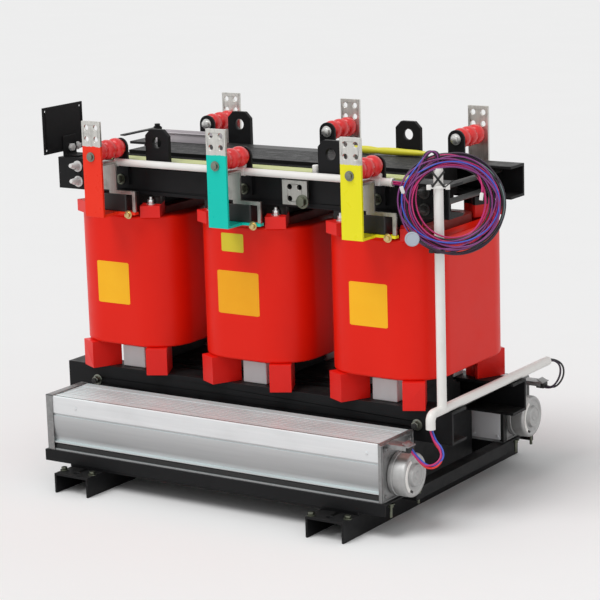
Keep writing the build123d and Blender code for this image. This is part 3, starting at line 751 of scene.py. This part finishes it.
def terminal_blocks():
    """Small blocks under the shelves, each with three screws."""
    blocks = Builder()
    start, end = low("fan_terminals"), high("fan_terminals")
    half, pitch, proud = 0.010, 0.006, 0.0007
    z = middle("fan_terminals").z
    for side in SIDES:
        y = side * SHELF_Y
        blocks.box((start.x, y - half, start.z), (end.x, y + half, end.z), 0.0012)
        for across in (y - pitch, y, y + pitch):
            blocks.cylinder((end.x, across, z), (end.x + proud, across, z), 0.0018, 0.0, 16)
    blocks.done("fan_terminal_blocks", BLACK_AND_SHADED_BLOCK, "black_block", "fan_terminals")


inner_plate()
for name, side in FACES.items():
    fan_casing(name, side)
    fan_painted_shade(name, side)
    fan_ends(name, side)
    motor(name, side)
terminal_blocks()


# Fasteners
CLAMP_FACE = high("upper_clamp_rear").y
STRAP_FACE = high("insulator_straps").y
BAR_FACE = high("rear_bar_left").y
SKID_TOP = high("skid_left").z


def bar_bolts():
    """Bolts through the straps into the insulators, and the ones that hold the bars."""
    bolts, dull = Builder(), Builder()
    for phase in PHASES.values():
        x = phase + BAR_SHIFT
        bolts.bolt((x, CLAMP_FACE, POST_Z["rear"]), (0, -1, 0), 0.016)
        bolts.bolt((x, -CLAMP_FACE, POST_Z["front"]), (0, 1, 0), 0.016)
        dull.bolt((phase + 0.0055, -BAR_FACE, 0.7345), (0, -1, 0), 0.0135, height=0.005)
        dull.bolt((x, BAR_FACE, POST_Z["rear"]), (0, 1, 0), 0.0135, height=0.005)
    bolts.done("strap_bolts", ZINC, "zinc_steel")
    dull.done("bar_bolts", DULL_ZINC, "zinc_steel")


def press_screws():
    """Pale set screws that press the blocks down on the coils."""
    screws = Builder()
    for phase in PHASES.values():
        for out, side in CORNERS:
            place = (phase + out * 0.084, side * 0.162, 0.620)
            screws.bolt(place, (0, 0, 1), 0.013, tail=0.006, height=0.009)
    screws.done("press_screws", BRIGHT, "zinc_steel")


def cap_nuts():
    """Tapered caps on the ends of the upper tie rods, one shape in two colours: pale ones at the left as
    painted highlight and dark ones at the right as painted shade.
    """
    washer = 0.003
    for end, out, finish in (("left", -1, PALE_CAP_AND_HIGHLIGHT), ("right", 1, SHADED_DARK_ROD)):
        nuts = Builder()
        x = out * 0.447
        for side in SIDES:
            for z, tip_z in ((0.658, 0.662), (0.692, 0.697)):
                cap = (x, side * (CLAMP_FACE + washer), z)
                nuts.cylinder((x, side * CLAMP_FACE, z), cap, 0.0125, 0.0004, 28)
                nuts.cylinder(cap, (x, side * 0.1885, tip_z), 0.0098, 0.0012, 28, 0.0045)
        nuts.done(f"cap_nuts_{end}", finish, "zinc_steel")


def clamp_nuts():
    """Nuts on the ends of the lower tie rods."""
    nuts = Builder()
    for out, side in CORNERS:
        nuts.bolt((out * 0.420, side * CLAMP_FACE, 0.205), (0, side, 0), 0.0155, height=0.010)
    nuts.done("clamp_nuts", DULL_ZINC, "zinc_steel")


def dark_bolts():
    """Bolts of the straps, the pedestals, the skids, the fan rails and the neutral pad."""
    bolts = Builder()
    for phase in PHASES.values():
        for side in SIDES:
            bolts.bolt((phase + BAR_SHIFT, side * STRAP_FACE, 0.672), (0, side, 0), 0.015, height=0.007)
    for end in ENDS:
        x = middle(f"pedestal_{end}").x
        for out, side in CORNERS:
            bolts.bolt((x + out * 0.028, side * 0.130, 0.166), (0, 0, -1), 0.013)
    skid_front = ((-0.378, -0.345), (-0.300, -0.345), (0.283, -0.360), (0.361, -0.345))
    skid_rear = ((-0.378, 0.345), (0.283, 0.345))
    for x, y in skid_front + skid_rear:
        bolts.bolt((x, y, SKID_TOP), (0, 0, 1), 0.012, height=0.006)
    for y in (-0.292, -0.183, 0.243, 0.316):
        for x, tail in ((0.432, 0.022), (-0.448, 0.010)):
            bolts.bolt((x, y, 0.0735), (0, 0, -1), 0.011, tail, height=0.006)
    bolts.bolt((0.1625, low("neutral_bar").y, 0.6565), (0, -1, 0), 0.019)
    bolts.done("dark_bolts", DARK_STEEL, "zinc_steel")


def small_nuts():
    """Brass nuts under the front bars, and pale bolts of the controller plate."""
    brass = Builder()
    for phase in PHASES.values():
        brass.bolt((phase + 0.060, -0.212, 0.6035), (0, -1, 0), 0.012, height=0.006)
    brass.done("brass_nuts", YELLOW_ZINC, "zinc_steel")
    pale = Builder()
    x, z = low("controller_bracket").x, 0.727
    pale.bolt((x, -0.121, z), (1, 0, 0), 0.016, height=0.008)
    pale.bolt((x, -0.095, z), (1, 0, 0), 0.012, height=0.006)
    pale.done("pale_bolts", PALE_CAP_AND_HIGHLIGHT, "zinc_steel")


bar_bolts()
press_screws()
cap_nuts()
clamp_nuts()
dark_bolts()
small_nuts()


# Things that lie on the clamps
def yellow_sleeve():
    """A limp yellow sleeve along the rear clamp."""
    profile = [(0.0, 0.0030), (0.004, 0.0052), (0.020, 0.0078), (0.052, 0.0088), (0.064, 0.0084)]
    profile += [(0.082, 0.0066), (0.100, 0.0080), (0.124, 0.0082), (0.150, 0.0070)]
    profile += [(0.180, 0.0064), (0.200, 0.0050), (0.207, 0.0030)]
    sleeve = Builder().lathe((0.085, 0.118, 0.7232), (1, 0, 0), profile, 32)
    sleeve.done("yellow_sleeve", sheath("yellow_sleeve", (0.66, 0.60, 0.02), (0.82, 0.76, 0.05)), None)


def cable_trough():
    """An open trough at the left end of the rear clamp: white plastic, coloured grey as painted shade."""
    trough = Builder()
    wall = 0.002
    x0, x1, y0, y1, z0, z1 = -0.430, -0.262, 0.106, 0.146, 0.7105, 0.736
    for start, end in (
        ((y0, z0), (y1, z0 + wall)), ((y0, z0), (y0 + wall, z1)),
        ((y1 - wall, z0), (y1, z1)), ((y0 - 2 * wall, z1 - wall), (y0 + wall, z1)),
    ):
        trough.box((x0, *start), (x1, *end), 0.0005)
    trough.done("cable_trough", moulded("white_trough_painted_shade", (0.50, 0.46, 0.49), (0.60, 0.56, 0.58)), None)


def yoke_strap():
    """A cranked black strap from the front clamp up and back to the yoke."""
    strap = Builder()
    x, half = -0.317, 0.0065
    for start, end in (
        ((-0.161, 0.7670), (-0.025, 0.7700)),
        ((-0.028, 0.7200), (-0.025, 0.7700)),
        ((-0.028, 0.7195), (0.004, 0.7225)),
    ):
        strap.box((x - half, *start), (x + half, *end), 0.0006)
    for y, z in ((-0.034, 0.7700), (-0.006, 0.7225)):
        strap.bolt((x, y, z), (0, 0, 1), 0.011, height=0.006)
    strap.done("yoke_strap", BLACK, None)


def conduit_fittings():
    """Sleeves, side outlets and a cap of the top conduit."""
    fittings = Builder()
    y, z = middle("top_conduit").yz
    for x in (0.009, 0.345):
        fittings.cylinder((x - 0.010, y, z), (x + 0.010, y, z), 0.0094, 0.0008, 28)
        fittings.cylinder((x, y, z), (x, y + 0.010, z + 0.014), 0.0076, 0.0008, 24)
    for x in (-0.322, 0.382):
        fittings.cylinder((x - 0.006, y, z), (x + 0.002, y, z), 0.0090, 0.0008, 28)
    fittings.cylinder((0.180, -0.150, 0.7145), (0.180, -0.150, 0.731), 0.0075, 0.0020, 24)
    fittings.done("conduit_fittings", TUBE, "white_pipe")


yellow_sleeve()
cable_trough()
yoke_strap()
conduit_fittings()


# Plain stickers on the coils
COIL_CORNER = 0.088
COIL_FLAT = high("outer_coil_middle").x - COIL_CORNER
COIL_FRONT = low("outer_coil_middle").y


def on_coil_front(along):
    """Place and outward direction at a distance along the front of a coil from its middle."""
    across = max(-COIL_FLAT, min(along, COIL_FLAT))
    angle = (along - across) / COIL_CORNER
    out = Vector((math.sin(angle), -math.cos(angle), 0))
    centre = Vector((across, COIL_FRONT + COIL_CORNER, 0))
    return centre + out * COIL_CORNER, out


def label(name, phase, left, right, bottom, top, material):
    """A thin sheet that follows the front of a coil, with slightly rounded corners."""
    columns, nick, proud = 24, 0.002, 0.0004
    rings = []
    for k in range(columns + 1):
        inset = nick if k in (0, columns) else 0.0
        place, out = on_coil_front(left + (right - left) * k / columns)
        place.x += PHASES[phase]
        inner, outer = place, place + out * proud
        z0, z1 = bottom + inset, top - inset
        corners = ((inner, z0), (inner, z1), (outer, z1), (outer, z0))
        rings.append([(at.x, at.y, z) for at, z in corners])
    Builder().skin(rings).done(name, material, None)


AMBER = sticker("amber_sticker", (0.96, 0.45, 0.008), (1.0, 0.52, 0.016))
ORANGE = sticker("orange_sticker", (0.88, 0.36, 0.006), (0.93, 0.42, 0.012))
LIME = sticker("lime_sticker", (0.64, 0.50, 0.025), (0.74, 0.58, 0.04))
label("sticker_left", "left", -0.057, 0.031, 0.394, 0.488, AMBER)
label("sticker_middle", "middle", -0.058, 0.049, 0.401, 0.495, ORANGE)
label("sticker_small", "middle", -0.044, 0.013, 0.537, 0.577, LIME)
label("sticker_right", "right", -0.054, 0.038, 0.408, 0.500, AMBER)


# Coil of spare wires
COIL_TURN, COIL_TILT = math.radians(28.6), math.radians(11)
RISER = Vector((*middle("riser").xy, high("riser").z))
ACROSS = Vector((math.cos(COIL_TURN), math.sin(COIL_TURN), 0))
LEVEL_OUT = Vector((ACROSS.y, -ACROSS.x, 0))
UP = Vector((0, 0, 1)) * math.cos(COIL_TILT) - LEVEL_OUT * math.sin(COIL_TILT)
OUT = LEVEL_OUT * math.cos(COIL_TILT) + Vector((0, 0, 1)) * math.sin(COIL_TILT)
COIL_MIDDLE = RISER - Vector((0, 0, 0.070)) + ACROSS * 0.025 + LEVEL_OUT * 0.0137
LEAD_ROUTE = [(384, -176, 711), (404, -177, 711), (424, -190, 712)]

DARK_WIRE = sheath("dark_wire", (0.012, 0.006, 0.015), (0.035, 0.014, 0.040))
PURPLE_WIRE = sheath("purple_wire", (0.13, 0.018, 0.13), (0.26, 0.045, 0.22))
MAGENTA_WIRE = sheath("magenta_wire", (0.42, 0.012, 0.11), (0.62, 0.03, 0.20))
BLUE_WIRE = sheath("blue_wire", (0.025, 0.05, 0.38), (0.06, 0.13, 0.66))
RED_WIRE = sheath("red_wire", (0.62, 0.012, 0.012), (0.78, 0.03, 0.02))
PALE_WIRE = sheath("pale_wire", (0.12, 0.20, 0.20), (0.26, 0.36, 0.35))
BLACK_WIRE = sheath("black_wire", (0.005, 0.006, 0.007), (0.014, 0.015, 0.016))
CONNECTOR_GREY = moulded("connector_grey", (0.33, 0.38, 0.44), (0.44, 0.49, 0.55), (0.35, 0.5))
PLUG_WHITE = moulded("plug_white", (0.70, 0.69, 0.67), (0.82, 0.81, 0.79), (0.35, 0.5))

WIRES = {}


def on_coil(across, up, out):
    """A point in the coil's own plane, given in millimetres."""
    return COIL_MIDDLE + (ACROSS * across + UP * up + OUT * out) * MM


def wire(key, name, points, thickness, length, material, lay):
    """A wire drawn smoothly by its control points, kept with its thickness, real length and lay."""
    data = bpy.data.curves.new(name, "CURVE")
    data.dimensions = "3D"
    data.resolution_u = 6
    data.bevel_depth = thickness / 2
    data.bevel_resolution = 3
    data.use_fill_caps = True
    spline = data.splines.new("NURBS")
    spline.points.add(len(points) - 1)
    for held, place in zip(spline.points, points):
        held.co = (*place, 1)
    spline.order_u = 3
    spline.use_endpoint_u = True
    WIRES[key] = (settle(bpy.data.objects.new(name, data), material, "wires"), thickness, length, lay)


def turns(first, last, start, end, layer, drift, phase):
    """Turns of a wound wire: its half sizes and centre go from start to end as the angle does, in degrees."""
    step = 22.0
    count = max(2, round(abs(last - first) / step))
    points = []
    for k in range(count + 1):
        share = k / count
        angle = math.radians(first + (last - first) * share)
        a, b, cu, cv = (s + (e - s) * share for s, e in zip(start, end))
        fade = min(1.0, 4 * share, 4 * (1 - share))
        cu += fade * drift * math.sin(0.43 * angle + phase)
        cv += fade * drift * math.cos(0.31 * angle + 2 * phase)
        out = layer + 1.4 * math.sin(0.63 * angle + phase)
        points.append(on_coil(cu + a * math.cos(angle), cv + b * math.sin(angle), out))
    return points


def lead_in(aside, up, layer):
    """Out of the conduit and over to the coil, beside the other wires."""
    points = [Vector(p) * MM for p in LEAD_ROUTE]
    points += [on_coil(-84, 39, -10), on_coil(-80, 45, 0.3 * layer), on_coil(-71, 58, 0.6 * layer)]
    return [p + Vector((aside * 0.35, aside, up)) * MM for p in points]


def into_riser(shift=Vector()):
    """Over the top of the coil and down into the riser, beside the other wires."""
    over = [on_coil(-52, 94, 5), on_coil(-39, 106, 3), on_coil(-26, 101, 1), on_coil(-24.6, 84, 0)]
    return [p + shift for p in over] + [RISER - UP * 0.004]


def coil_wires():
    """The wires that come out of the top conduit and hang coiled on the riser."""
    to_connector = [(2, -99, -2), (-22, -96, 6), (-44, -86, 14), (-61, -76, 20), (-72, -71, 21)]
    to_plug_b = [(-92, 14, 5), (-95, 24, 9)]
    to_plug_c = [(58, 50, 4), (63, 33, 7), (61, 17, 10)]
    for key, thickness, length, material, lead, wound, end in (
        ("a", 0.0040, 2.38, DARK_WIRE, (2.2, -2.0, -8),
         (128, -1130, (108, 104, 2, -4), (92, 90, 3, -3), -8, 7, 0.4), [on_coil(*p) for p in to_connector]),
        ("b", 0.0032, 2.09, MAGENTA_WIRE, (-2.4, -1.6, -2),
         (130, -1250, (86, 90, -4, 3), (74, 80, -6, 5), -2.5, 11, 1.9), [on_coil(*p) for p in to_plug_b]),
        ("c", 0.0032, 1.32, MAGENTA_WIRE, (-2.4, 2.2, 3),
         (130, -666, (98, 90, 4, -4), (80, 74, 2, 5), 3.0, 9, 3.1), [on_coil(*p) for p in to_plug_c]),
        ("d", 0.0030, 0.75, BLUE_WIRE, (2.4, 2.4, 8),
         (132, -225, (98, 84, 6, 2), (99, 84, -2, 8), 8.0, 4, 4.4), into_riser()),
        ("e", 0.0034, 2.42, PURPLE_WIRE, (0.0, -3.6, 5),
         (130, -1305, (90, 84, -4, 0), (98, 90, 2, -2), 6.0, 12, 5.2), into_riser(OUT * 0.003)),
        ("f", 0.0026, 1.34, PALE_WIRE, (0.0, 3.8, -5),
         (124, -585, (112, 100, 0, -4), (84, 78, -6, 6), -5.0, 5, 2.6), into_riser(OUT * -0.003)),
        ("g", 0.0036, 2.35, BLACK_WIRE, (0.0, 0.0, 1),
         (131, -1305, (102, 96, 3, -4), (80, 74, 0, 4), 0.5, 9, 0.9), into_riser(ACROSS * 0.003)),
        ("h", 0.0042, 1.90, DARK_WIRE, (1.0, -1.0, -4),
         (129, -945, (94, 99, 2, 0), (86, 84, 4, -4), -5.0, 10, 3.8), into_riser(ACROSS * -0.004)),
    ):
        points = lead_in(*lead) + turns(*wound) + end
        wire(key, f"coil_wire_{key}", points, thickness, length, material, "coiled")


coil_wires()
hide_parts("wire_coil", "wire_leads")


def connector():
    """The round plug on the end of the longest loose wire."""
    body = Builder()
    profile = [(0.0, 0.0115), (0.0010, 0.0128), (0.0060, 0.0132), (0.0065, 0.0142), (0.0160, 0.0149)]
    profile += [(0.0200, 0.0147), (0.0216, 0.0136), (0.0220, 0.0118), (0.0212, 0.0110), (0.0212, 0.0020)]
    body.lathe(on_coil(-77, -70, 13), OUT, profile, 56)
    return body.done("round_connector", CONNECTOR_GREY, "plug_grey", "connector")


def plug(key):
    """A small flat housing on the end of a wire, with a collar."""
    spline = WIRES[key][0].data.splines[0]
    last, before = (spline.points[k].co.xyz for k in (-1, -2))
    way = (last - before).normalized()
    across = OUT.cross(way)
    turn = Matrix((way, across.normalized(), way.cross(across).normalized())).transposed()
    housing = Builder()
    start = last - way * 0.002
    housing.block(start + way * 0.007, (0.007, 0.0038, 0.0024), 0.0007, turn)
    housing.block(start + way * 0.001, (0.0022, 0.0028, 0.0020), 0.0005, turn)
    return housing.done(f"small_plug_{key}", PLUG_WHITE, "plug_grey")


PLUGS = {"a": connector(), "b": plug("b"), "c": plug("c")}


def cable_ties():
    """Black ties that hold the coiled wires to the riser."""
    ties = Builder()
    x, y = RISER.xy
    for z, tall, radius in ((0.5760, 0.007, 0.0118), (0.5880, 0.004, 0.0114)):
        ties.cylinder((x, y, z), (x, y, z + tall), radius, 0.0008, 32)
    ties.box((x - 0.016, y - 0.0155, 0.5765), (x - 0.006, y - 0.0095, 0.5835), 0.0008)

    def strip(at, lean, half, bevel):
        turn = Matrix.Rotation(COIL_TURN, 3, "Z") @ Matrix.Rotation(math.radians(lean), 3, "Y")
        ties.block(at, half, bevel, turn)

    for lean in (-38, 38):
        strip(RISER + LEVEL_OUT * 0.0116 - UP * 0.021, lean, (0.0022, 0.0008, 0.020), 0.0004)
    strip(RISER + LEVEL_OUT * 0.013 + ACROSS * 0.022 - UP * 0.030, 52, (0.0012, 0.0006, 0.012), 0.0003)
    ties.done("cable_ties", BLACK_AND_PAINTED_SHADE, None)


def riser_clip():
    """The pale clip across the riser, with an ear at each end."""
    white_piece = Builder()
    turn = Matrix.Rotation(COIL_TURN, 3, "Z")
    bar = RISER + LEVEL_OUT * 0.0122 - Vector((0, 0, 0.037))
    white_piece.block(bar, (0.021, 0.0022, 0.0030), 0.0010, turn)
    for side in SIDES:
        white_piece.block(bar + ACROSS * side * 0.019, (0.0045, 0.0034, 0.0050), 0.0010, turn)
    white_piece.done("riser_clip", TUBE, "white_pipe")


cable_ties()
riser_clip()


# Leads to both fans
FAN_ROUTES = {
    "front": [
        (490, -226, 220), (496, -227, 198), (516, -232, 184), (526, -243, 166),
        (514, -259, 152), (496, -275, 158), (480, -291, 194),
    ],
    "rear": [
        (490, 286, 250), (492, 306, 249), (507, 318, 236), (512, 310, 212),
        (502, 298, 190), (489, 292, 186), (476, 290, 190),
    ],
}


def beside(route, shift, spread):
    """A wire of a bundle: the route moved a little, and by more towards its middle."""
    count = len(route) - 1
    points = []
    for k, place in enumerate(route):
        share = math.sin(math.pi * k / count)
        points.append((Vector(place) + Vector(shift) + Vector(spread) * share) * MM)
    return points


def fan_leads():
    """Three wires from the side conduit to each fan's terminals."""
    for face, key, thickness, length, material, shift, spread in (
        ("front", "red", 0.0044, 0.163, RED_WIRE, (-2, 1.6, 0), (3, -3, -4)),
        ("front", "blue", 0.0042, 0.154, BLUE_WIRE, (2.2, 1.2, 0), (0, 2, 2)),
        ("front", "magenta", 0.0042, 0.152, MAGENTA_WIRE, (0, -2.8, 0), (-1, 2, 3)),
        ("rear", "dark", 0.0042, 0.118, DARK_WIRE, (-1.5, 0, 1.4), (0, 0, 0)),
        ("rear", "purple", 0.0042, 0.111, DARK_WIRE, (2.4, 0, -1.8), (-3, -3, 4)),
        ("rear", "black", 0.0042, 0.125, BLACK_WIRE, (1.2, 0, 3.4), (3, 5, -4)),
    ):
        points = beside(FAN_ROUTES[face], shift, spread)
        wire(f"{face}_{key}", f"{face}_fan_wire_{key}", points, thickness, length, material, "loose")


fan_leads()
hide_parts("front_fan_leads")
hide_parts("rear_fan_leads")


# Floor, light and camera
def floor():
    """A plain pale floor."""
    data = bpy.data.meshes.new("floor")
    reach = 14
    corners = [(-reach, -reach, 0), (reach, -reach, 0), (reach, reach, 0), (-reach, reach, 0)]
    data.from_pydata(corners, [], [(0, 1, 2, 3)])
    s = Surface("pale_floor", roughness=0.9, specular=0.0)
    s.colour(s.mix(s.noise(3), (0.93, 0.93, 0.93), (0.95, 0.95, 0.95)))
    data.materials.append(s.material)
    plane = bpy.data.objects.new("floor", data)
    SCENE.collection.objects.link(plane)


def studio():
    """A world that looks white, also in reflections, and lights the object softly."""
    soft_light = 0.50
    world = bpy.data.worlds.new("studio")
    SCENE.world = world
    world.use_nodes = True
    nodes, links = world.node_tree.nodes, world.node_tree.links
    path = nodes.new("ShaderNodeLightPath")
    seen = nodes.new("ShaderNodeMath")
    seen.operation = "MAXIMUM"
    links.new(path.outputs["Is Camera Ray"], seen.inputs[0])
    links.new(path.outputs["Is Glossy Ray"], seen.inputs[1])
    strength = nodes.new("ShaderNodeMapRange")
    strength.inputs["To Min"].default_value = soft_light
    strength.inputs["To Max"].default_value = 1.0
    links.new(seen.outputs[0], strength.inputs["Value"])
    ground = nodes["Background"]
    ground.inputs["Color"].default_value = (1, 1, 1, 1)
    links.new(strength.outputs["Result"], ground.inputs["Strength"])


def aimed(name, data, place, aim, roll=0.0):
    """Puts a lamp or a camera in the scene, looking at a point."""
    made = bpy.data.objects.new(name, data)
    turn = (Vector(aim) - Vector(place)).to_track_quat("-Z", "Y")
    made.location = place
    made.rotation_euler = (turn @ Quaternion((0, 0, 1), math.radians(roll))).to_euler()
    SCENE.collection.objects.link(made)
    return made


def lamps():
    """A broad sun, even over the whole floor, and a broad soft lamp at the front right."""
    sun = bpy.data.lights.new("key", "SUN")
    sun.energy = 1.5
    sun.angle = math.radians(32)
    aimed("key", sun, (0, 0, 0), (0.6, 1.8, -3.0))
    fill = bpy.data.lights.new("fill", "AREA")
    fill.shape = "RECTANGLE"
    fill.size = fill.size_y = 2.4
    fill.energy = 9
    aimed("fill", fill, (2.6, -2.4, 2.2), (0, 0, 0.4))


def camera():
    """The photograph's point of view, with its slight roll."""
    data = bpy.data.cameras.new("camera")
    data.sensor_width = 36
    data.lens = 134
    data.clip_end = 100
    place, aim = (2.703, -3.990, 1.438), (0.030, 0.0, 0.400)
    SCENE.camera = aimed("camera", data, place, aim, roll=-1.73)


floor()
studio()
lamps()
camera()
SCENE.view_settings.view_transform = "Standard"
